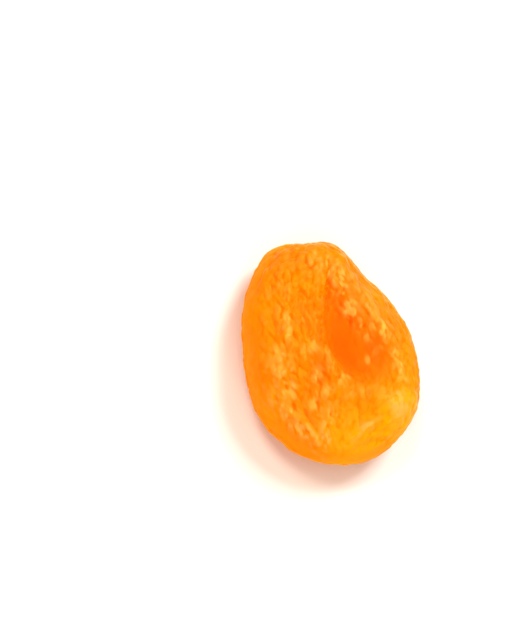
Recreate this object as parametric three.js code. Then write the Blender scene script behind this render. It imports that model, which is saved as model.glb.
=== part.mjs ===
// A whole dried apricot, pitted and flattened, lying on its belly with the sunken side up.
// One closed skin in millimetres: +Z is up, +Y points to the stem end, +X to the narrow cheek.
// The origin is on the surface that the fruit lies on, below the middle of its outline.

import * as THREE from "three";
import { mergeVertices } from "three/addons/utils/BufferGeometryUtils.js";

const { clamp, degToRad, lerp, smoothstep } = THREE.MathUtils;

// Driving dimensions.
const fruitWidth = 31.3;
const fruitLength = 41;
const outlineMiddleY = -0.87; // the outline's own middle lies nearer the tip than the origin
const rimHeight = 5.4; // of the widest line round the side, above the surface
const crownHeight = 6.9; // from that line to the top of the plump cheek
const bellyDepth = 5.75; // from that line down to the belly, before its own weight pressed it flat

// Where the outline, seen from above, bulges past a plain oval or stays inside it: the bearing
// from +X towards the stem end and the reach to either side, in degrees, and the share of the radius.
const outlineBulges = [
  { bearing: 28, reach: 17, bulge: -0.11 }, // narrow cheek, where it slants
  { bearing: 68, reach: 22, bulge: -0.215 }, // straight side from there to the stem end
  { bearing: 93, reach: 15, bulge: 0.12 }, // stem end
  { bearing: 133, reach: 15, bulge: 0.14 }, // shoulder of the plump cheek
  { bearing: 261, reach: 30, bulge: -0.06 }, // tip's plump side
  { bearing: 323, reach: 20, bulge: 0.06 }, // tip's corner
];

// The side's roundness: 2 is an ellipse, and more is boxier.
const crownFullness = 2.7;
const bellyFullness = 2.2;

// The pit was squeezed out through the stem end, and the flesh sank in behind it: a valley that
// falls steeply from the plump cheek and rises slowly to the narrow one.
const valley = {
  stemEndY: 11.8, // where it is narrowest
  stemFallY: 9.2, // where its floor is halfway down, and over what length it falls
  stemFallWidth: 4,
  tipEndY: -9.6, // the same at the other end, where it is widest
  tipFallY: -6.8,
  tipFallWidth: 4,
  wallX: -2, // its steep wall
  wallBendY: -1, // from here to the tip the wall bends away to +X
  wallLean: 0.42,
  wallBend: 1.2, // 1 is a straight slant, and more is a curve
  wallWidth: 2.5,
  depth: 2.9,
  narrowReach: 2.3, // how far it reaches to +X where it is narrowest
  wideReach: 7.9, // and where it is widest
  taper: 2.2, // how late it narrows towards the stem end
};

// Swells (lift above 0), hollows and creases of the sunken side: centre, reach along and across
// the direction that they are turned to, in degrees from +X.
const sunkenSideForms = [
  { x: 2.2, y: 6.4, along: 5.6, across: 1.5, turn: 120, lift: 0.5 }, // lumpy fold inside the valley
  { x: 6.3, y: 4.3, along: 9.5, across: 1.5, turn: 121, lift: 0.95 }, // crest of the narrow cheek
  { x: 11.2, y: -11.7, along: 4.4, across: 3.7, turn: 130, lift: 0.8 }, // swell at the tip's corner
  { x: 10.5, y: -8.2, along: 4.0, across: 0.9, turn: 16, lift: -0.6 }, // crease above it
  { x: 4.5, y: -15.0, along: 3.0, across: 1.4, turn: 43, lift: 0.35 }, // low swell beside it
  { x: -2.2, y: 11.2, along: 6.0, across: 1.2, turn: 91, lift: -0.75 }, // crease from valley to stem
  { x: -6.5, y: 0.1, along: 9.5, across: 5.0, turn: 95, lift: 0.4 }, // plump cheek
  { x: -6.2, y: 2.1, along: 2.5, across: 2.5, turn: 0, lift: -0.5 }, // dimple in it
  { x: -9.6, y: 2.5, along: 4.8, across: 1.0, turn: 92, lift: 0.4 }, // its shoulder
  { x: -7.5, y: -14.6, along: 5.8, across: 1.0, turn: 138, lift: 0.45 }, // the shoulder, round the tip
  { x: -2.3, y: -16.6, along: 2.2, across: 0.7, turn: 98, lift: 0.3 }, // short fold at the tip
  { x: -4.5, y: -5.5, along: 2.4, across: 1.4, turn: 100, lift: -0.65 }, // hollow below the plump cheek
  { x: -1.2, y: -4.2, along: 2.8, across: 1.1, turn: 120, lift: 0.5 }, // lumps in the valley's foot
  { x: -2.0, y: -7.4, along: 1.6, across: 1.2, turn: 60, lift: 0.45 },
];
const flatSideStart = 0.75; // share of the crown's height above which the forms have their full lift

const stemDimple = { x: -4.5, y: 20.5, z: 6.2, reach: 3.2, depth: 1.3 };
const stemPole = new THREE.Vector3(-3.5, 20, 6);
const tipPole = new THREE.Vector3(0.5, -20.5, 5.5);

// Slow unevenness of the whole skin.
const unevenHeight = 0.4;
const unevenSpan = 13;
const unevenWaves = 9;
const unevenSeed = 977;

// Wrinkles run from the stem end to the tip. Each seed on the skin carries a short train of
// waves across that run, and where trains meet they join, fork and end.
const wrinkleSpacing = 2.7;
const wrinkleHeight = 0.45;
const wrinkleReach = 2;
const wrinkleSeeds = 760;
const wrinkleSeed = 4211;
const wrinkleStray = 0.7; // how far a train may turn from the run, in radians
const wrinkleMean = 0.64; // the mean of a round-topped wave that runs from 0 to 1
const wrinkleFade = 0.35; // where trains cancel out more than this, the wrinkle runs out
const calmFloor = 0.75; // share of the wrinkling that the valley's smooth floor lacks
const calmRim = 0.6; // share that the rim lacks
const rimShare = 0.5; // how far the rim reaches up and down, as a share of the way to the flat sides

const panels = 31; // faces along each edge of the box that is blown up into the fruit
const spread = 1.5; // evens out the faces between the flat sides and the rim

// Moves the finished fruit so that the middle of its outline is over the origin.
const recentred = { x: 0.17, y: 0.41 };

const fleshColour = 0xff9312;
const fleshRoughness = 0.38;

const goldenAngle = Math.PI * (3 - Math.sqrt(5));
const drawFactor = 16807;
const drawModulus = 2 ** 31 - 1;

// Even draws from 0 to 1, always the same ones for a seed.
function drawsFrom(seed) {
  let state = seed;
  return () => {
    state = (state * drawFactor) % drawModulus;
    return state / drawModulus;
  };
}

// The outline's radius at a bearing, as a share of the plain oval's. A bulge is a Gaussian
// that is wrapped round the circle.
function outlineAt(bearing) {
  return outlineBulges.reduce((share, { bearing: middle, reach, bulge }) => {
    const turn = bearing - degToRad(middle);
    return share + bulge * Math.exp((Math.cos(turn) - 1) / degToRad(reach) ** 2);
  }, 1);
}

// From 0 to 1 round a value of 0, mostly within the width.
const softStep = (width, value) => (1 + Math.tanh((2 * value) / width)) / 2;

// How sunken the valley is at a place seen from above: 0 outside it, 1 in its deepest part.
function valleyShareAt(x, y) {
  const wall = valley.wallX + valley.wallLean * Math.max(0, valley.wallBendY - y) ** valley.wallBend;
  const past = x - wall;
  const run = clamp((y - valley.tipEndY) / (valley.stemEndY - valley.tipEndY), 0, 1);
  const reach = lerp(valley.wideReach, valley.narrowReach, run ** valley.taper);
  const ends =
    softStep(valley.stemFallWidth, valley.stemFallY - y) *
    softStep(valley.tipFallWidth, y - valley.tipFallY);
  return ends * softStep(valley.wallWidth, past) * Math.exp(-((Math.max(0, past) / reach) ** 2));
}

// The sum of the swells, hollows and creases, each an oval Gaussian.
function formsAt(x, y) {
  return sunkenSideForms.reduce((sum, form) => {
    const turn = degToRad(form.turn);
    const u = ((x - form.x) * Math.cos(turn) + (y - form.y) * Math.sin(turn)) / form.along;
    const v = ((y - form.y) * Math.cos(turn) - (x - form.x) * Math.sin(turn)) / form.across;
    return sum + form.lift * Math.exp(-u * u - v * v);
  }, 0);
}

// The direction that a place is at once the faces are evened out.
function spreadOut(direction) {
  const spreadDirection = direction.clone();
  spreadDirection.z *= spread;
  return spreadDirection.normalize();
}

// The body in a direction from its middle: plump all over, or with its valley and forms pressed in.
function bodyAt(direction, pressedIn = true) {
  const d = spreadOut(direction);
  const bearing = Math.atan2(d.y, d.x);
  const upper = d.z > 0;
  const power = 2 / (upper ? crownFullness : bellyFullness);
  const reach = Math.hypot(d.x, d.y) ** power * outlineAt(bearing);
  const x = (fruitWidth / 2) * reach * Math.cos(bearing);
  const y = (fruitLength / 2) * reach * Math.sin(bearing) + outlineMiddleY;
  const lift = Math.abs(d.z) ** power;
  let z = rimHeight + (upper ? crownHeight : -bellyDepth) * lift;
  if (upper && pressedIn) {
    z += smoothstep(lift, 0, flatSideStart) * (formsAt(x, y) - valley.depth * valleyShareAt(x, y));
  }
  return new THREE.Vector3(x, y, z);
}

const offAxis = new THREE.Vector3(0.36, 0.48, 0.8); // lines up with no corner of the skin
const smallStep = 0.01;

// The outward direction of the plump body's surface, from two small steps along it.
function outwardAt(direction) {
  const sideways = offAxis.clone().cross(direction).normalize();
  const upwards = direction.clone().cross(sideways);
  const here = bodyAt(direction, false);
  const aside = bodyAt(direction.clone().addScaledVector(sideways, smallStep), false).sub(here);
  const above = bodyAt(direction.clone().addScaledVector(upwards, smallStep), false).sub(here);
  return aside.cross(above).normalize();
}

// The way that wrinkles run: out of the stem end, round the cheeks and into the tip.
function runAt(place) {
  const fromStem = place.clone().sub(stemPole);
  const toTip = tipPole.clone().sub(place);
  return fromStem.divideScalar(fromStem.lengthSq()).add(toTip.divideScalar(toTip.lengthSq()));
}

// Places on a golden spiral round the fruit, each with the direction and phase of its waves.
function seedWrinkles() {
  const draw = drawsFrom(wrinkleSeed);
  return Array.from({ length: wrinkleSeeds }, (_, i) => {
    const z = 1 - (2 * i + 1) / wrinkleSeeds;
    const flat = Math.sqrt(1 - z * z);
    const turn = i * goldenAngle;
    const direction = new THREE.Vector3(flat * Math.cos(turn), flat * Math.sin(turn), z);
    const place = bodyAt(direction);
    const outward = outwardAt(direction);
    const across = outward.clone().cross(runAt(place)).normalize();
    across.applyAxisAngle(outward, wrinkleStray * (2 * draw() - 1));
    return { place, across, phase: 2 * Math.PI * draw() };
  });
}

// 0 in a sharp crease, 1 on a round crest, and their mean where the trains cancel out.
function wrinkleAt(place, seeds) {
  let cosine = 0;
  let sine = 0;
  let weights = 0;
  for (const seed of seeds) {
    const gap = place.distanceToSquared(seed.place);
    if (gap > (3 * wrinkleReach) ** 2) continue;
    const weight = Math.exp(-gap / (2 * wrinkleReach ** 2));
    const along = place.clone().sub(seed.place).dot(seed.across);
    const phase = (2 * Math.PI * along) / wrinkleSpacing + seed.phase;
    cosine += weight * Math.cos(phase);
    sine += weight * Math.sin(phase);
    weights += weight;
  }
  const sure = smoothstep(Math.hypot(cosine, sine) / weights, 0, wrinkleFade);
  return lerp(wrinkleMean, Math.cos(Math.atan2(sine, cosine) / 2), sure);
}

// Long waves, each with a drawn direction and phase.
function seedUnevenness() {
  const draw = drawsFrom(unevenSeed);
  return Array.from({ length: unevenWaves }, () => {
    const z = 2 * draw() - 1;
    const turn = 2 * Math.PI * draw();
    const flat = Math.sqrt(1 - z * z);
    const wave = new THREE.Vector3(flat * Math.cos(turn), flat * Math.sin(turn), z);
    return { wave: wave.multiplyScalar((2 * Math.PI) / unevenSpan), phase: 2 * Math.PI * draw() };
  });
}

// The sum of the long waves, about as high as one of them.
function unevennessAt(place, waves) {
  const sum = waves.reduce((total, { wave, phase }) => total + Math.sin(place.dot(wave) + phase), 0);
  return sum / Math.sqrt(waves.length);
}

// How much of their full height the wrinkles have: less on the valley's floor and round the rim.
function wrinkleShareAt(place, direction) {
  const sunk = place.z > rimHeight ? valleyShareAt(place.x, place.y) : 0;
  const atRim = 1 - smoothstep(Math.abs(spreadOut(direction).z), 0, rimShare);
  return (1 - calmFloor * sunk) * (1 - calmRim * atRim);
}

// A box is blown up into the body, and its corners are pushed out by the unevenness, the wrinkles
// and the dimple at the stem.
function makeApricot() {
  const box = new THREE.BoxGeometry(2, 2, 2, panels, panels, panels);
  box.deleteAttribute("normal");
  box.deleteAttribute("uv");
  const geometry = mergeVertices(box);
  const corners = geometry.getAttribute("position");
  const wrinkles = seedWrinkles();
  const waves = seedUnevenness();
  const evenOut = (edge) => Math.tan((edge * Math.PI) / 4);
  const dimple = new THREE.Vector3(stemDimple.x, stemDimple.y, stemDimple.z);
  for (let i = 0; i < corners.count; i++) {
    const direction = new THREE.Vector3().fromBufferAttribute(corners, i);
    direction.set(evenOut(direction.x), evenOut(direction.y), evenOut(direction.z)).normalize();
    const place = bodyAt(direction);
    const outward = outwardAt(direction);
    const dimpled = stemDimple.depth * Math.exp(-place.distanceToSquared(dimple) / stemDimple.reach ** 2);
    const height =
      unevenHeight * unevennessAt(place, waves) +
      wrinkleHeight * wrinkleShareAt(place, direction) * (wrinkleAt(place, wrinkles) - wrinkleMean) -
      dimpled;
    place.addScaledVector(outward, height);
    place.z = Math.max(0, place.z); // the belly is pressed flat where it lies
    corners.setXYZ(i, place.x, place.y, place.z);
  }
  geometry.translate(recentred.x, recentred.y, 0);
  geometry.computeVertexNormals();
  const flesh = new THREE.MeshStandardMaterial({ color: fleshColour, roughness: fleshRoughness });
  const apricot = new THREE.Mesh(geometry, flesh);
  apricot.name = "apricot";
  return apricot;
}

const driedApricot = new THREE.Group();
driedApricot.name = "dried_apricot";
driedApricot.add(makeApricot());

export default driedApricot;
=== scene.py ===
# A whole dried apricot, pitted and flattened, that lies on its belly with the sunken side up.
import bpy
import numpy as np
from mathutils import Matrix, Vector


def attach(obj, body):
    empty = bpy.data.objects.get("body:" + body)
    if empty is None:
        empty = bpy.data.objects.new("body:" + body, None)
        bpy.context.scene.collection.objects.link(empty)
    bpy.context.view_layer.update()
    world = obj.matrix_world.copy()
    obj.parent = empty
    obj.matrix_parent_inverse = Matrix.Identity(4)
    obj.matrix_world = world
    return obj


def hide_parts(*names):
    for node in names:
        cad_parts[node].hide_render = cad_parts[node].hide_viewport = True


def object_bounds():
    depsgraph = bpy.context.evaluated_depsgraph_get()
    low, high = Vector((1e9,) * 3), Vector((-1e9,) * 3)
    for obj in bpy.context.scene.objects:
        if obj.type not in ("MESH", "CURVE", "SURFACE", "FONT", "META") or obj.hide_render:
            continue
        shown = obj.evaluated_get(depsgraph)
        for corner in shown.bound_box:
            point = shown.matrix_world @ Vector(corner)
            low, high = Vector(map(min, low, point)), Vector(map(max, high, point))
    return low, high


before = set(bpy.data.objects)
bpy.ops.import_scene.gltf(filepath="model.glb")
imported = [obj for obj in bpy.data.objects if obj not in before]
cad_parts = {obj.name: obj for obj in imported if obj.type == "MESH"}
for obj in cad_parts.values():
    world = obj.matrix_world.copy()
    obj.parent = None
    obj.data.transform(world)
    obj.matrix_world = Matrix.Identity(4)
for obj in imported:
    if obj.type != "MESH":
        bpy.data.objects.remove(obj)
cadLow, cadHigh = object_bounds()
mm = 0.001

shot = {
    "leanLeft": 14,           # degrees off the upright, to the left of the fruit
    "leanDown": 19,           # and towards its tip
    "lens": 100,
    "distance": 0.306,
    "nearest": 0.01,          # nothing nearer than this is drawn
    "furthest": 20,           # nor further off
    "fruitAcross": 0.01190,   # how far right of the picture's middle the fruit lies
    "fruitBelow": 0.00513,    # and how far below it
}


# Looks down on the fruit with its stem end up. The three axes come from two cross products, and
# the camera then slides along its own right and up, so that the fruit sits off the middle.
def addCamera():
    middle = (cadLow + cadHigh) / 2
    left, down = np.tan(np.radians([shot["leanLeft"], shot["leanDown"]]))
    back = Vector((-left, -down, 1)).normalized()
    right = Vector((0, 1, 0)).cross(back).normalized()
    up = back.cross(right)
    data = bpy.data.cameras.new("studioCamera")
    data.lens = shot["lens"]
    data.clip_start = shot["nearest"]
    data.clip_end = shot["furthest"]
    camera = bpy.data.objects.new("studioCamera", data)
    bpy.context.scene.collection.objects.link(camera)
    camera.matrix_world = Matrix((right, up, back)).transposed().to_4x4()
    slid = up * shot["fruitBelow"] - right * shot["fruitAcross"]
    camera.location = middle + back * shot["distance"] + slid
    bpy.context.scene.camera = camera


studio = {
    "floorSide": 24.0,
    "floorColour": "#D4D4D4",
    "floorRoughness": 0.9,    # uncoated paper scatters nearly all of its light
    "floorSpecular": 0.1,
    "sky": 0.3,
    "skyColour": "#FFDCC4",
    "boxes": [   # name, azimuth from the front, elevation, distance, side, watts, colour
        ("rightKeyBox", 142, 50, 2.4, 0.9, 47, "#FFFFFF"),
        ("leftKeyBox", 222, 56, 2.4, 0.8, 25, "#FFF0E0"),
        ("topBox", 0, 80, 3.6, 3.2, 34, "#FFF8F0"),
        ("frontBox", 8, 32, 3.2, 1.6, 40, "#FFF4E6"),
        ("sideBox", -42, 38, 3.2, 1.2, 18, "#FFE8D0"),
        ("warmBox", -80, 24, 3.2, 2.4, 23, "#FF9850"),
    ],
}


# A wide sheet of white paper, an even warm sky, and square soft boxes that all face the fruit from
# (sin azimuth cos elevation, -cos azimuth cos elevation, sin elevation) times their distance.
def addFloorAndLights():
    half = studio["floorSide"] / 2
    floorMesh = bpy.data.meshes.new("floor")
    corners = [(-half, -half, 0), (half, -half, 0), (half, half, 0), (-half, half, 0)]
    floorMesh.from_pydata(corners, [], [(0, 1, 2, 3)])
    floor = bpy.data.objects.new("floor", floorMesh)
    bpy.context.scene.collection.objects.link(floor)
    paper = bpy.data.materials.new("uncoatedPaper")
    paper.use_nodes = True
    surface = paper.node_tree.nodes["Principled BSDF"]
    surface.inputs["Base Color"].default_value = linear(studio["floorColour"])
    surface.inputs["Roughness"].default_value = studio["floorRoughness"]
    surface.inputs["Specular IOR Level"].default_value = studio["floorSpecular"]
    floorMesh.materials.append(paper)
    sky = bpy.data.worlds.new("warmSky")
    sky.use_nodes = True
    glow = sky.node_tree.nodes["Background"]
    glow.inputs["Color"].default_value = linear(studio["skyColour"])
    glow.inputs["Strength"].default_value = studio["sky"]
    bpy.context.scene.world = sky
    for name, azimuth, elevation, distance, side, watts, colour in studio["boxes"]:
        data = bpy.data.lights.new(name, "AREA")
        data.shape = "SQUARE"
        data.size = side
        data.energy = watts
        data.color = linear(colour)[:3]
        light = bpy.data.objects.new(name, data)
        a, e = np.radians([azimuth, elevation])
        place = Vector((np.sin(a) * np.cos(e), -np.cos(a) * np.cos(e), np.sin(e))) * distance
        light.location = place
        light.rotation_mode = "QUATERNION"
        light.rotation_quaternion = (-place).to_track_quat("-Z", "Y")
        bpy.context.scene.collection.objects.link(light)
    bpy.context.scene.view_settings.view_transform = "Standard"
    bpy.context.scene.view_settings.look = "Medium High Contrast"


# An sRGB hex value as linear light, with alpha 1.
def linear(hexColour):
    srgb = np.array([int(hexColour[i:i + 2], 16) for i in (1, 3, 5)]) / 255
    light = np.where(srgb <= 0.04045, srgb / 12.92, ((srgb + 0.055) / 1.055) ** 2.4)
    return (*[float(x) for x in light], 1.0)


# An S-shaped step from 0 at start to 1 at end: 3 share^2 - 2 share^3.
def smooth(start, end, value):
    share = np.clip((value - start) / (end - start), 0, 1)
    return share * share * (3 - 2 * share)


# From 0 to 1 round a value of 0, mostly within the width: (1 + tanh(2 value / width)) / 2.
def softStep(width, value):
    return (1 + np.tanh(2 * value / width)) / 2


# The same directions, one long.
def unit(vectors):
    return vectors / np.linalg.norm(vectors, axis=-1, keepdims=True)


drawFactor = 16807
drawModulus = 2147483647   # 2^31 - 1


# Even draws from 0 to 1, from the same small generator as the solid's: each state is the last one
# times the factor, and what is left of that past whole times the modulus.
def draws(seed, count):
    found = np.empty(count)
    state = seed
    for i in range(count):
        state = (state * drawFactor) % drawModulus
        found[i] = state / drawModulus
    return found


# Places turned to an oval's own axes and divided by its reaches, so that its edge has a radius of 1.
def ovalAxes(x, y, middleX, middleY, along, across, turn):
    c = np.cos(np.radians(turn))
    s = np.sin(np.radians(turn))
    u = ((x - middleX) * c + (y - middleY) * s) / along
    v = ((y - middleY) * c - (x - middleX) * s) / across
    return u, v


keySteps = 1e5   # corners are the same one if they round to the same hundred-thousandth


# Each side of a box is a square grid (s, t) from -1 to 1, evened out by a tangent. Blown up, its
# corners are directions on a ball. Corners that two or three sides share are alike once rounded,
# and become one.
def blownUpBox(panels):
    edge = np.tan(np.linspace(-1, 1, panels + 1) * np.pi / 4)
    s, t = np.meshgrid(edge, edge, indexing="ij")
    sides = [
        np.roll(np.stack([side * np.ones_like(s), side * s, t], axis=-1), turn, axis=-1)
        for turn in range(3)
        for side in (1, -1)
    ]
    corners = np.concatenate([side.reshape(-1, 3) for side in sides])
    n = panels + 1
    i, j = np.meshgrid(np.arange(panels), np.arange(panels), indexing="ij")
    here = i * n + j
    square = np.stack([here, here + n, here + n + 1, here + 1], axis=-1).reshape(-1, 4)
    squares = np.concatenate([square + k * n * n for k in range(6)])
    keys = np.round(corners * keySteps).astype(np.int64)
    _, first, shared = np.unique(keys, axis=0, return_index=True, return_inverse=True)
    return unit(corners[first]), shared.reshape(-1)[squares]


body = {
    "width": 31.3,
    "length": 41.0,
    "middleY": -0.87,        # the outline's own middle lies nearer the tip than the origin
    "rimHeight": 5.4,        # the widest line round the side, above the floor
    "crownHeight": 6.9,      # from there up to the top of the plump cheek
    "bellyDepth": 5.75,      # from there down, before its weight pressed the belly flat
    "crownFullness": 2.7,    # 2 is an ellipse, and more is boxier
    "bellyFullness": 2.2,
    "spread": 1.5,           # evens out the squares between the flat sides and the rim
    "formsStart": 0.75,      # share of the crown's height from which the forms are full
    "recentred": (0.17, 0.41, 0),
    "outlineBulges": [       # bearing and reach in degrees, share of the plain oval's radius
        (28, 17, -0.11),     # narrow cheek, where it slants
        (68, 22, -0.215),    # straight side from there to the stem end
        (93, 15, 0.12),      # stem end
        (133, 15, 0.14),     # shoulder of the plump cheek
        (261, 30, -0.06),    # tip's plump side
        (323, 20, 0.06),     # tip's corner
    ],
}

# The flesh sank in where the pit was squeezed out: steep from the plump cheek, slow to the other.
valley = {
    "depth": 2.9,
    "stemEndY": 11.8,        # where it is narrowest
    "stemFallY": 9.2,        # half sunk
    "stemFallWidth": 4.0,    # length of the fall
    "tipEndY": -9.6,         # the same at its widest end
    "tipFallY": -6.2,
    "tipFallWidth": 4.0,
    "wallX": -2.0,           # the steep side
    "wallWidth": 2.5,
    "wallBendY": -1.0,       # below here it leans over to the tip's corner
    "wallLean": 0.42,
    "wallBend": 1.2,
    "narrowReach": 2.3,      # how far the slow side reaches at both ends
    "wideReach": 7.9,
    "taper": 2.2,
}

# Swells and hollows of the sunken side: x, y, reach along, reach across, turn, lift.
sunkenSideForms = [
    (2.3, 6.4, 5.4, 1.3, 120, 0.5),       # lumpy fold inside the valley
    (6.3, 4.3, 9.5, 1.5, 121, 0.95),      # crest of the narrow cheek
    (11.2, -11.7, 4.4, 3.7, 130, 0.8),    # swell at the tip's corner
    (10.5, -8.2, 4.0, 0.9, 16, -0.6),     # crease above it
    (4.5, -15.0, 3.0, 1.4, 43, 0.35),     # low swell beside it
    (-1.9, 8.0, 7.5, 0.5, 87, -0.9),      # crease that runs on from the valley to the stem
    (-6.5, 0.1, 9.5, 5.0, 95, 0.4),       # plump cheek
    (-6.2, 2.1, 2.5, 2.5, 0, -0.5),       # dimple in it
    (-9.6, 2.5, 4.8, 1.0, 92, 0.4),       # its shoulder
    (-7.5, -14.6, 5.8, 1.0, 138, 0.45),   # the shoulder, round the tip
    (-2.3, -16.6, 2.2, 0.7, 98, 0.3),     # short fold at the tip
    (-4.5, -5.5, 2.4, 1.4, 100, -0.65),   # hollow below the plump cheek
    (-1.2, -4.2, 2.8, 1.1, 120, 0.5),     # lumps in the valley's foot
    (-2.0, -7.4, 1.6, 1.2, 60, 0.45),
]


# The outline's radius as a share of the plain oval's: 1 plus Gaussians wrapped round the circle,
# bulge exp((cos turn - 1) / reach^2).
def outlineAt(bearing):
    share = np.ones_like(bearing)
    for middle, reach, bulge in body["outlineBulges"]:
        turn = bearing - np.radians(middle)
        share += bulge * np.exp((np.cos(turn) - 1) / np.radians(reach) ** 2)
    return share


# How sunken the valley is, seen from above: a soft step down past its wall, then a Gaussian rise
# whose reach widens from the stem end to the tip, with a soft step at both ends.
def valleyShareAt(x, y):
    belowBend = np.maximum(0, valley["wallBendY"] - y)
    past = x - (valley["wallX"] + valley["wallLean"] * belowBend ** valley["wallBend"])
    run = (y - valley["tipEndY"]) / (valley["stemEndY"] - valley["tipEndY"])
    narrowing = (valley["narrowReach"] - valley["wideReach"]) * np.clip(run, 0, 1) ** valley["taper"]
    rise = np.exp(-(np.maximum(0, past) / (valley["wideReach"] + narrowing)) ** 2)
    stemEnd = softStep(valley["stemFallWidth"], valley["stemFallY"] - y)
    tipEnd = softStep(valley["tipFallWidth"], y - valley["tipFallY"])
    return stemEnd * tipEnd * softStep(valley["wallWidth"], past) * rise


# The sum of the swells and hollows, each an oval Gaussian.
def formsAt(x, y):
    total = np.zeros_like(x)
    for *oval, lift in sunkenSideForms:
        u, v = ovalAxes(x, y, *oval)
        total += lift * np.exp(-u * u - v * v)
    return total


# Directions on the ball once the squares are evened out.
def spreadOut(directions):
    return unit(directions * [1, 1, body["spread"]])


# A superellipse side, from belly over rim to crown, is carried round the outline: plump all over,
# or with the valley and the swells pressed into the crown.
def bodyAt(directions, pressedIn=True):
    d = spreadOut(directions)
    bearing = np.arctan2(d[:, 1], d[:, 0])
    upper = d[:, 2] > 0
    power = 2 / np.where(upper, body["crownFullness"], body["bellyFullness"])
    reach = np.hypot(d[:, 0], d[:, 1]) ** power * outlineAt(bearing)
    x = body["width"] / 2 * reach * np.cos(bearing)
    y = body["length"] / 2 * reach * np.sin(bearing) + body["middleY"]
    lift = np.abs(d[:, 2]) ** power
    z = body["rimHeight"] + np.where(upper, body["crownHeight"], -body["bellyDepth"]) * lift
    if pressedIn:
        relief = formsAt(x, y) - valley["depth"] * valleyShareAt(x, y)
        z += upper * smooth(0, body["formsStart"], lift) * relief
    return np.stack([x, y, z], axis=-1)


smallStep = 0.01
offAxis = [0.36, 0.48, 0.8]   # along none of the grid's own directions


# Square to the plump body: the cross product of two small steps along it.
def outwardAt(directions):
    sideways = unit(np.cross(offAxis, directions))
    upwards = np.cross(directions, sideways)
    here = bodyAt(directions, False)
    aside = bodyAt(directions + sideways * smallStep, False) - here
    above = bodyAt(directions + upwards * smallStep, False) - here
    return unit(np.cross(aside, above))


# Directions along the skin, each turned about its outward direction.
def turned(along, outward, angle):
    return along * np.cos(angle)[:, None] + np.cross(outward, along) * np.sin(angle)[:, None]


# Points spread evenly over a ball on a golden spiral.
def ballPoints(count):
    i = np.arange(count)
    z = 1 - (2 * i + 1) / count
    flat = np.sqrt(1 - z * z)
    turn = i * np.pi * (3 - np.sqrt(5))
    return np.stack([flat * np.cos(turn), flat * np.sin(turn), z], axis=-1)


poles = {"stem": (-3.5, 20, 6), "tip": (0.5, -20.5, 5.5)}


# The way that wrinkles run, like the field between two poles: out of the stem end and into the tip.
def runAt(places):
    fromStem = places - np.array(poles["stem"])
    toTip = np.array(poles["tip"]) - places
    stemSquares = (fromStem ** 2).sum(-1, keepdims=True)
    tipSquares = (toTip ** 2).sum(-1, keepdims=True)
    return fromStem / stemSquares + toTip / tipSquares


# Every place and seed that are nearer each other than the reach: their numbers, and the gap between
# them. Squares of the gaps are |p|^2 + |s|^2 - 2 p.s, for a batch of seeds at a time.
def pairsWithin(places, seeds, reach):
    batchSize = 100
    placeNumbers = []
    seedNumbers = []
    placeSquares = (places ** 2).sum(-1)[:, None]
    for start in range(0, len(seeds), batchSize):
        batch = seeds[start:start + batchSize]
        squares = placeSquares + (batch ** 2).sum(-1) - 2 * places @ batch.T
        i, k = np.nonzero(squares < reach ** 2)
        placeNumbers.append(i)
        seedNumbers.append(k + start)
    i = np.concatenate(placeNumbers)
    k = np.concatenate(seedNumbers)
    return i, k, places[i] - seeds[k]


# Slow unevenness of the whole skin, as in the solid.
uneven = {"height": 0.4, "span": 13, "waves": 9, "seed": 977}


# A few long waves in drawn directions, added up: sin(2 pi place . direction / span + phase).
def unevennessAt(places):
    drawn = draws(uneven["seed"], 3 * uneven["waves"])
    z = 2 * drawn[0::3] - 1
    turn = 2 * np.pi * drawn[1::3]
    phase = 2 * np.pi * drawn[2::3]
    flat = np.sqrt(1 - z * z)
    wave = np.stack([flat * np.cos(turn), flat * np.sin(turn), z], axis=-1)
    angle = places @ (wave * 2 * np.pi / uneven["span"]).T + phase
    return np.sin(angle).sum(1) / np.sqrt(uneven["waves"])


# Long soft folds that run from stem to tip, as in the solid.
folds = {
    "spacing": 2.7,
    "height": 0.31,
    "reach": 2.0,
    "cutOff": 3,     # reaches past which a seed counts for nothing
    "seeds": 760,
    "seed": 4211,
    "stray": 0.7,    # how far a fold may turn from the run, in radians
    "mean": 0.64,    # of a round-topped wave that runs from 0 to 1
    "fade": 0.35,    # where the waves cancel out more than this, the fold runs out
    "faintSpot": (-2.5, -9.5, 8.5, 6, 20),   # there they are fainter, by the share
    "faintShare": 0.65,
}


# Each seed adds a Gaussian-weighted wave across the run. The cosine of half the sum's phase has
# round crests and sharp creases, from 1 to 0.
def foldsAt(places):
    count = folds["seeds"]
    directions = ballPoints(count)
    seeds = bodyAt(directions)
    outward = outwardAt(directions)
    across = unit(np.cross(outward, runAt(seeds)))
    drawn = draws(folds["seed"], 2 * count)
    across = turned(across, outward, folds["stray"] * (2 * drawn[0::2] - 1))
    phase = 2 * np.pi * drawn[1::2]
    i, k, gap = pairsWithin(places, seeds, folds["cutOff"] * folds["reach"])
    weight = np.exp(-(gap ** 2).sum(-1) / (2 * folds["reach"] ** 2))
    angle = 2 * np.pi * (gap * across[k]).sum(-1) / folds["spacing"] + phase[k]
    cosine = np.bincount(i, weight * np.cos(angle), len(places))
    sine = np.bincount(i, weight * np.sin(angle), len(places))
    sure = smooth(0, folds["fade"], np.hypot(cosine, sine) / np.bincount(i, weight, len(places)))
    return folds["mean"] + sure * (np.cos(np.arctan2(sine, cosine) / 2) - folds["mean"])


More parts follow.
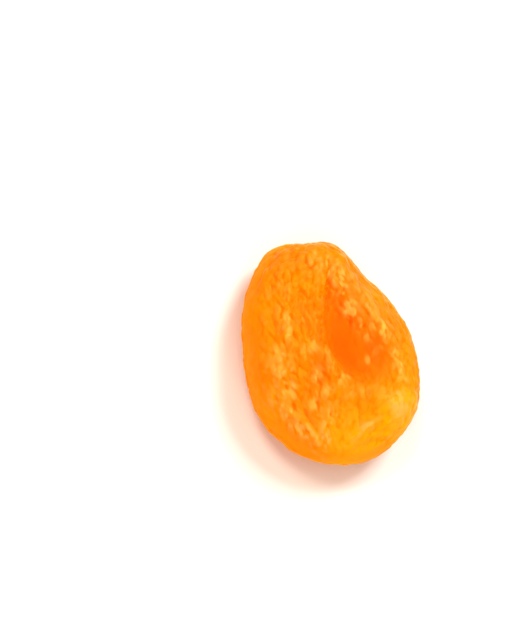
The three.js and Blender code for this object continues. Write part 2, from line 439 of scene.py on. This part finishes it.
# Finer than the solid's folds: two sizes of cobble between creases. Each is longer along the folds'
# run than across it, and its top tilts a little its own way, so that some catch the light.
cobbles = [
    {
        "seeds": 1650,
        "seed": 33,
        "across": 1.0,
        "longer": 2.2,
        "height": 0.17,
        "stray": 0.5,    # how far a cobble may turn from the run, in radians
        "tilt": 0.18,
        "pale": 0.68,    # how pale the palest one's painted highlight is
    },
    {
        "seeds": 4200,
        "seed": 59,
        "across": 0.62,
        "longer": 1.9,
        "height": 0.06,
        "stray": 0.9,
        "tilt": 0.10,
        "pale": 0.42,
    },
]
cobbleShape = {
    "softness": 4.5,          # of the step from one cobble's share to the next
    "closeness": 0.55,
    "sizeStray": 0.35,
    "placeStray": 3.2,
    "cutOff": 2.2,            # half widths past which a seed counts for nothing
    "flatTop": 0.8,           # above this share of its height a cobble is flat
    "mean": 0.8,
    "least": 1e-9,            # keeps a place with no seed near it from dividing by nothing
    "creaseBelow": 0.55,      # and below this one its foot counts as crease, which gets painted shade
    "paleFrom": 0.2,          # a cobble's painted highlight is pale on top, not at its foot
    "paleTo": 0.9,
    "paleRareness": 2.5,      # most painted highlights are dull, and a few are pale
}


# Cells round seeds, drawn out along the run. With squares = (distance / half width)^2, the soft
# minimum of squares over the nearest seeds gives 1 mid-cobble and 0 in creases, and the same
# shares average the seeds' tilts times the gap, and how pale each one's painted highlight is.
def cobblesAt(places, kind):
    count = kind["seeds"]
    drawn = draws(kind["seed"], 7 * count).reshape(-1, 7)
    strayed = (drawn[:, :3] - 0.5) * cobbleShape["placeStray"] / np.sqrt(count)
    directions = unit(ballPoints(count) + strayed)
    seeds = bodyAt(directions)
    outward = outwardAt(directions)
    run = runAt(seeds)
    run = unit(run - outward * (run * outward).sum(-1, keepdims=True))
    run = turned(run, outward, kind["stray"] * (2 * drawn[:, 5] - 1))
    half = kind["across"] / 2
    i, k, gap = pairsWithin(places, seeds, cobbleShape["cutOff"] * half * kind["longer"])
    along = (gap * run[k]).sum(-1)
    squares = ((gap ** 2).sum(-1) - along ** 2 * (1 - 1 / kind["longer"] ** 2)) / half ** 2
    size = cobbleShape["sizeStray"] * (drawn[k, 3] - 0.5)
    shares = np.exp(-cobbleShape["softness"] * (cobbleShape["closeness"] * squares - size))
    total = np.bincount(i, shares, len(places)) + cobbleShape["least"]
    cobble = np.clip(1 + np.log(total) / cobbleShape["softness"], 0, 1)
    downhill = turned(run, outward, 2 * np.pi * drawn[:, 4])
    tilted = np.bincount(i, shares * (gap * downhill[k]).sum(-1), len(places)) / total
    paleness = drawn[:, 6] ** cobbleShape["paleRareness"]
    pale = np.bincount(i, shares * paleness[k], len(places)) / total
    pale *= smooth(cobbleShape["paleFrom"], cobbleShape["paleTo"], cobble)
    return cobble, kind["tilt"] * tilted, kind["pale"] * pale


# Where the skin lies smoother on the sunken side: x, y, reach along, reach across, turn, and the
# share that is taken off its folds and cobbles.
calmSpots = [
    (0.3, 1.2, 7.4, 2.3, 102, 0.85),    # valley floor beside the wall
    (6.0, -1.6, 5.2, 3.4, 145, 0.85),   # its wide end
    (2.2, 6.4, 6.2, 1.6, 120, -1.6),    # the fold inside it is as lumpy as the cheeks
    (7.5, -9.0, 6.0, 3.4, 170, 0.4),    # flesh between there and the corner
    (-15.0, -3.0, 17, 4.2, 98, 0.6),    # side of the plump cheek
    (2.0, -20.5, 11, 3.2, 0, 0.5),      # side of the tip
    (-1.0, 20.0, 6, 3.0, 0, 0.6),       # skin drawn tight round the stem
]
calmRim = {
    "upperShare": 0.6,   # taken off them round the rim, above its widest line
    "lowerShare": 0.4,   # and below it
    "full": 0.1,         # of the way from that line to the top or the belly, all of it is taken
    "none": 0.5,         # and from here on nothing
}


# Painted highlights on the crests of the sunken side: x, y, reach along, reach across, turn, and
# how strongly each cobble's own paleness shows there.
paintedHighlightSpots = [
    (1.9, 6.4, 6.8, 1.3, 120, 1.7),     # the fold inside the valley
    (-0.2, 11.6, 2.6, 1.4, 118, 2.0),   # and above it
    (7.2, 2.5, 8.4, 1.3, 116, 1.3),     # crest of the narrow cheek
    (10.3, -3.4, 3.0, 1.2, 104, 1.5),   # its end towards the tip
    (1.4, 10.3, 2.4, 1.4, 137, 1.6),    # and towards the stem
    (5.1, -3.2, 0.9, 0.7, 80, 1.5),     # one painted highlight in the valley
    (-3.2, 13.6, 3.2, 2.4, 90, 1.0),    # stem end
    (-9.8, 2.5, 7.5, 1.2, 91, 0.9),     # shoulder of the plump cheek
    (-11.1, -5.2, 2.8, 1.4, 100, 1.0),  # and on round the tip
    (-9.7, -8.8, 3.6, 1.8, 105, 1.8),
    (-7.4, -15.0, 4.8, 0.9, 141, 4.5),
    (-2.3, -16.7, 2.2, 0.8, 99, 4.0),   # short fold at the tip
    (-2.3, -3.9, 1.8, 0.8, 98, 1.2),    # lumps between the valley's foot and the tip
    (-0.8, -8.0, 2.6, 0.9, 35, 1.3),
    (-3.9, -6.6, 1.6, 0.9, 80, 1.2),
    (1.9, -10.0, 1.8, 0.8, 25, 1.0),
    (-3.0, -10.0, 1.6, 1.0, 60, 1.3),
    (-4.5, -12.0, 1.8, 1.0, 90, 1.5),
    (-1.6, -13.4, 1.9, 0.9, 95, 1.5),
    (-5.6, -2.4, 2.4, 1.1, 60, 1.0),    # top of the plump cheek
    (10.3, -10.3, 3.2, 1.7, 160, 1.8),  # swell at the tip's corner
    (10.6, -12.0, 2.6, 1.5, 110, 1.6),
    (4.4, -15.2, 3.0, 1.0, 43, 1.6),    # low swell beside it
]


# An oval spot seen from above: exp(-r^3), where r is 1 at its reach.
def spotAt(x, y, *oval):
    u, v = ovalAxes(x, y, *oval)
    return np.exp(-(u * u + v * v) ** 1.5)


# How much of the wrinkling is left: less in the hollows and round the rim.
def calmAt(x, y, lift, upper):
    taken = np.where(upper, calmRim["upperShare"], calmRim["lowerShare"])
    left = 1 - taken * smooth(calmRim["none"], calmRim["full"], lift)
    for *oval, share in calmSpots:
        left *= 1 - share * spotAt(x, y, *oval) * upper
    return np.minimum(left, 1)


skin = {
    "panels": 128,   # squares along each edge of the box that is blown up
    "stemDimple": (-4.5, 20.5, 6.2),
    "dimpleReach": 3.2,
    "dimpleDepth": 1.3,
    "hollowSpread": 0.6,     # below 1, the hollow's painted shade reaches out past its deepest part
    "hollowEndY": 8.0,       # where it fades out towards the stem
    "hollowFade": 5.0,       # and over what length
    "paintedShadeSpots": [            # painted shade on other low flesh, redder by a share
        (-4.6, -6.4, 2.6, 1.9, 100, 0.5),
        (-6.0, 2.0, 5.5, 2.4, 95, 0.25),
        (-3.4, 1.0, 6.0, 1.5, 92, 0.35),
        (5.6, -1.8, 4.2, 2.6, 125, 0.8),
        (1.3, -5.6, 2.6, 1.3, 150, 0.75),
        (5.0, -9.0, 6.0, 1.8, 0, 0.25),
        (4.2, 6.8, 7.5, 2.8, 118, 0.42),
        (-3.5, -8.0, 5.0, 3.0, 85, 0.28),
    ],
    "toneAndGlowSpots": [           # where the flesh is thin and yellower, by a share: its own tone and a painted glow
        (11.5, -12.0, 6.0, 4.5, 130, 0.85),
        (4.0, -17.8, 8.5, 5.0, 10, 0.75),
        (12.5, -4.0, 5.5, 2.6, 100, 0.35),
    ],
    "toneAndGlowRim": 0.35,         # the rim is yellower by this share, its own tone and a painted glow
    "thinFrom": 0.6,         # which starts here, on the way to its widest line
    "thinTo": 0.1,           # and is full here
    "paintedHighlightShare": 0.3,        # how strongly the cobbles' painted highlights show elsewhere, hollow aside
    "dullFrom": 0.45,        # the rim is duller, in the same way
    "dullTo": 0.1,
}


# Creases are cut into the solid rather than piled on it: along each axis, places that reach past
# the solid's box are drawn in, low and high ends to its own.
def drawnIntoBox(places):
    low = places.min(0)
    high = places.max(0)
    boxLow = np.maximum(low, np.array(cadLow) / mm)
    boxHigh = np.minimum(high, np.array(cadHigh) / mm)
    return boxLow + (places - low) / (high - low) * (boxHigh - boxLow)


# The body pushed out along its outward direction by the unevenness, the folds and the cobbles,
# and pressed flat at the floor. Also what the material reads at each corner, with the shares of
# painted shade, painted glow and painted highlights.
def skinAt(directions):
    places = bodyAt(directions)
    outward = outwardAt(directions)
    upper = places[:, 2] > body["rimHeight"]
    lift = np.abs(spreadOut(directions)[:, 2])
    x = places[:, 0]
    y = places[:, 1]
    calm = calmAt(x, y, lift, upper)
    gap = places - np.array(skin["stemDimple"])
    dimple = skin["dimpleDepth"] * np.exp(-(gap ** 2).sum(-1) / skin["dimpleReach"] ** 2)
    height = uneven["height"] * unevennessAt(places) - dimple
    faint = 1 - folds["faintShare"] * spotAt(x, y, *folds["faintSpot"]) * upper
    height += folds["height"] * calm * faint * (foldsAt(places) - folds["mean"])
    # painted shade: the hollow's flesh is drawn redder and darker, as the shade that falls in it
    hollow = valleyShareAt(x, y) ** skin["hollowSpread"] * upper
    hollow *= softStep(skin["hollowFade"], skin["hollowEndY"] - y)
    # painted highlights: the crests drawn paler, as where the lights catch them
    highlightStrength = skin["paintedHighlightShare"] * (1 - hollow)
    for *oval, share in paintedHighlightSpots:
        highlightStrength += share * spotAt(x, y, *oval) * upper
    crease = np.zeros(len(places))
    paintedHighlight = np.zeros(len(places))
    for kind in cobbles:
        cobble, tilted, pale = cobblesAt(places, kind)
        flatTopped = smooth(0, cobbleShape["flatTop"], cobble)
        height += calm * (kind["height"] * (flatTopped - cobbleShape["mean"]) + tilted)
        # painted shade in the creases between cobbles
        crease = np.maximum(crease, calm * smooth(cobbleShape["creaseBelow"], 0, cobble))
        paintedHighlight += highlightStrength * pale
    # painted shade on other low spots, added to the hollow's
    low = sum(share * spotAt(x, y, *oval) for *oval, share in skin["paintedShadeSpots"]) * upper
    # the flesh's own yellower tone, and a painted glow where thin flesh lets light through
    yellowToneAndGlow = sum(share * spotAt(x, y, *oval) for *oval, share in skin["toneAndGlowSpots"])
    toneAndGlowRim = skin["toneAndGlowRim"] * smooth(skin["thinFrom"], skin["thinTo"], lift)
    shares = {
        "hollow": np.maximum(hollow, low),
        "yellowToneAndGlow": np.maximum(np.minimum(yellowToneAndGlow, 1), toneAndGlowRim),
        "dull": np.maximum(hollow, smooth(skin["dullFrom"], skin["dullTo"], lift)),
        "crease": crease,
        "paintedHighlight": np.minimum(paintedHighlight, 1),
    }
    pushedOut = places + outward * height[:, None] + body["recentred"]
    pushedOut[:, 2] = np.maximum(pushedOut[:, 2], 0)
    return drawnIntoBox(pushedOut), shares


# The squares of the blown-up box, with each corner moved to its place on the skin. What the material
# reads is kept at the corners.
def makeFlesh():
    directions, squares = blownUpBox(skin["panels"])
    places, shares = skinAt(directions)
    mesh = bpy.data.meshes.new("driedFlesh")
    mesh.from_pydata((places * mm).tolist(), [], squares.tolist())
    mesh.polygons.foreach_set("use_smooth", np.ones(len(squares), bool))
    for name, values in shares.items():
        attribute = mesh.attributes.new(name, "FLOAT", "POINT")
        attribute.data.foreach_set("value", values.astype(np.float32))
    mesh.update()
    flesh = bpy.data.objects.new("driedFlesh", mesh)
    bpy.context.scene.collection.objects.link(flesh)
    return flesh


fleshLook = {
    "flesh": "#FF7600",
    # painted shade in the hollow
    "hollow": "#FF5D00",
    # yellower tone of less ripe patches, and painted glow at thin flesh
    "yellowToneAndGlow": "#FF9B04",
    # painted shade in the creases
    "crease": "#FF5A00",
    "creaseShare": 0.22,
    # painted highlight on the crests
    "paintedHighlight": "#FF9F4A",
    "roughness": 0.33,              # tacky and moist where it was handled
    "dullRoughness": 0.7,           # and drier in the hollow and round the rim
    "ior": 1.4,                     # of sugar syrup
    "specular": 0.28,
    "tint": "#FFC94A",
    "glowReach": 1.9 * mm,          # how far light travels under the skin
    "glowShare": (1.0, 0.32, 0.07),
    "cloudSpan": 7 * mm,            # riper and less ripe patches
    "cloudFrom": 0.35,
    "cloudTo": 0.75,
    "cloudShare": 0.35,
    "poreSpan": 0.35 * mm,          # pores are a tenth of this, too fine to show
    "poreDepth": 0.02 * mm,
}


# Adds a node, sets its values and joins its inputs.
def add(tree, kind, links=None, **values):
    node = tree.nodes.new(kind)
    for name, value in values.items():
        setattr(node, name, value)
    for name, source in (links or {}).items():
        if isinstance(source, bpy.types.NodeSocket):
            tree.links.new(source, node.inputs[name])
        else:
            node.inputs[name].default_value = source
    return node


# Apricot flesh dried in the sun: tacky, moist and see-through, so that it glows at its thin edges
# and in its creases, with soft highlights that take on its own orange. Its colour also holds painted
# shade in the hollow and the creases, a painted glow at the thin edges and painted highlights on
# crests.
def driedFleshMaterial():
    made = bpy.data.materials.new("sunDriedFlesh")
    made.use_nodes = True
    tree = made.node_tree
    surface = tree.nodes["Principled BSDF"]
    place = add(tree, "ShaderNodeTexCoord").outputs["Object"]
    hollow = add(tree, "ShaderNodeAttribute", attribute_name="hollow").outputs["Fac"]
    yellowToneAndGlow = add(tree, "ShaderNodeAttribute", attribute_name="yellowToneAndGlow").outputs["Fac"]
    dull = add(tree, "ShaderNodeAttribute", attribute_name="dull").outputs["Fac"]
    crease = add(tree, "ShaderNodeAttribute", attribute_name="crease").outputs["Fac"]
    paintedHighlight = add(tree, "ShaderNodeAttribute", attribute_name="paintedHighlight").outputs["Fac"]
    # painted shade: the creases drawn darker and redder by a share
    creaseShare = add(tree, "ShaderNodeMath", {
        0: crease,
        1: fleshLook["creaseShare"],
    }, operation="MULTIPLY")
    clouds = add(tree, "ShaderNodeTexNoise", {
        "Vector": place,
        "Scale": 1 / fleshLook["cloudSpan"],
        "Detail": 2.0,
    })
    cloudShare = add(tree, "ShaderNodeMapRange", {
        "Value": clouds.outputs["Fac"],
        "From Min": fleshLook["cloudFrom"],
        "From Max": fleshLook["cloudTo"],
        "To Min": 0.0,
        "To Max": fleshLook["cloudShare"],
    })
    ripe = add(tree, "ShaderNodeMixRGB", {
        "Fac": cloudShare.outputs["Result"],
        "Color1": linear(fleshLook["flesh"]),
        "Color2": linear(fleshLook["yellowToneAndGlow"]),
    })
    # painted glow: thin flesh and rim drawn yellower, beside their own yellower tone
    pale = add(tree, "ShaderNodeMixRGB", {
        "Fac": yellowToneAndGlow,
        "Color1": ripe.outputs["Color"],
        "Color2": linear(fleshLook["yellowToneAndGlow"]),
    })
    # painted shade: the hollow's flesh mixed towards a darker, redder orange
    hollowShadeMix = add(tree, "ShaderNodeMixRGB", {
        "Fac": hollow,
        "Color1": pale.outputs["Color"],
        "Color2": linear(fleshLook["hollow"]),
    })
    creased = add(tree, "ShaderNodeMixRGB", {
        "Fac": creaseShare.outputs["Value"],
        "Color1": hollowShadeMix.outputs["Color"],
        "Color2": linear(fleshLook["crease"]),
    })
    # painted highlight: pale cobble tops
    paintedHighlightMix = add(tree, "ShaderNodeMixRGB", {
        "Fac": paintedHighlight,
        "Color1": creased.outputs["Color"],
        "Color2": linear(fleshLook["paintedHighlight"]),
    })
    tree.links.new(paintedHighlightMix.outputs["Color"], surface.inputs["Base Color"])
    dulled = add(tree, "ShaderNodeMapRange", {
        "Value": dull,
        "From Min": 0.0,
        "From Max": 1.0,
        "To Min": fleshLook["roughness"],
        "To Max": fleshLook["dullRoughness"],
    })
    tree.links.new(dulled.outputs["Result"], surface.inputs["Roughness"])
    pores = add(tree, "ShaderNodeTexNoise", {
        "Vector": place,
        "Scale": 1 / fleshLook["poreSpan"],
        "Detail": 2.0,
    })
    bump = add(tree, "ShaderNodeBump", {
        "Height": pores.outputs["Fac"],
        "Strength": 1.0,
        "Distance": fleshLook["poreDepth"],
    })
    tree.links.new(bump.outputs["Normal"], surface.inputs["Normal"])
    surface.inputs["IOR"].default_value = fleshLook["ior"]
    surface.inputs["Specular IOR Level"].default_value = fleshLook["specular"]
    surface.inputs["Specular Tint"].default_value = linear(fleshLook["tint"])
    surface.inputs["Subsurface Weight"].default_value = 1.0
    surface.inputs["Subsurface Radius"].default_value = fleshLook["glowShare"]
    surface.inputs["Subsurface Scale"].default_value = fleshLook["glowReach"]
    return made


addCamera()
addFloorAndLights()
print("camera, floor and lights placed")

flesh = makeFlesh()
print("flesh made with", len(flesh.data.vertices), "corners")
flesh.data.materials.append(driedFleshMaterial())
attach(flesh, "root")
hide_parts("apricot")
print("flesh has its material, body and slot")
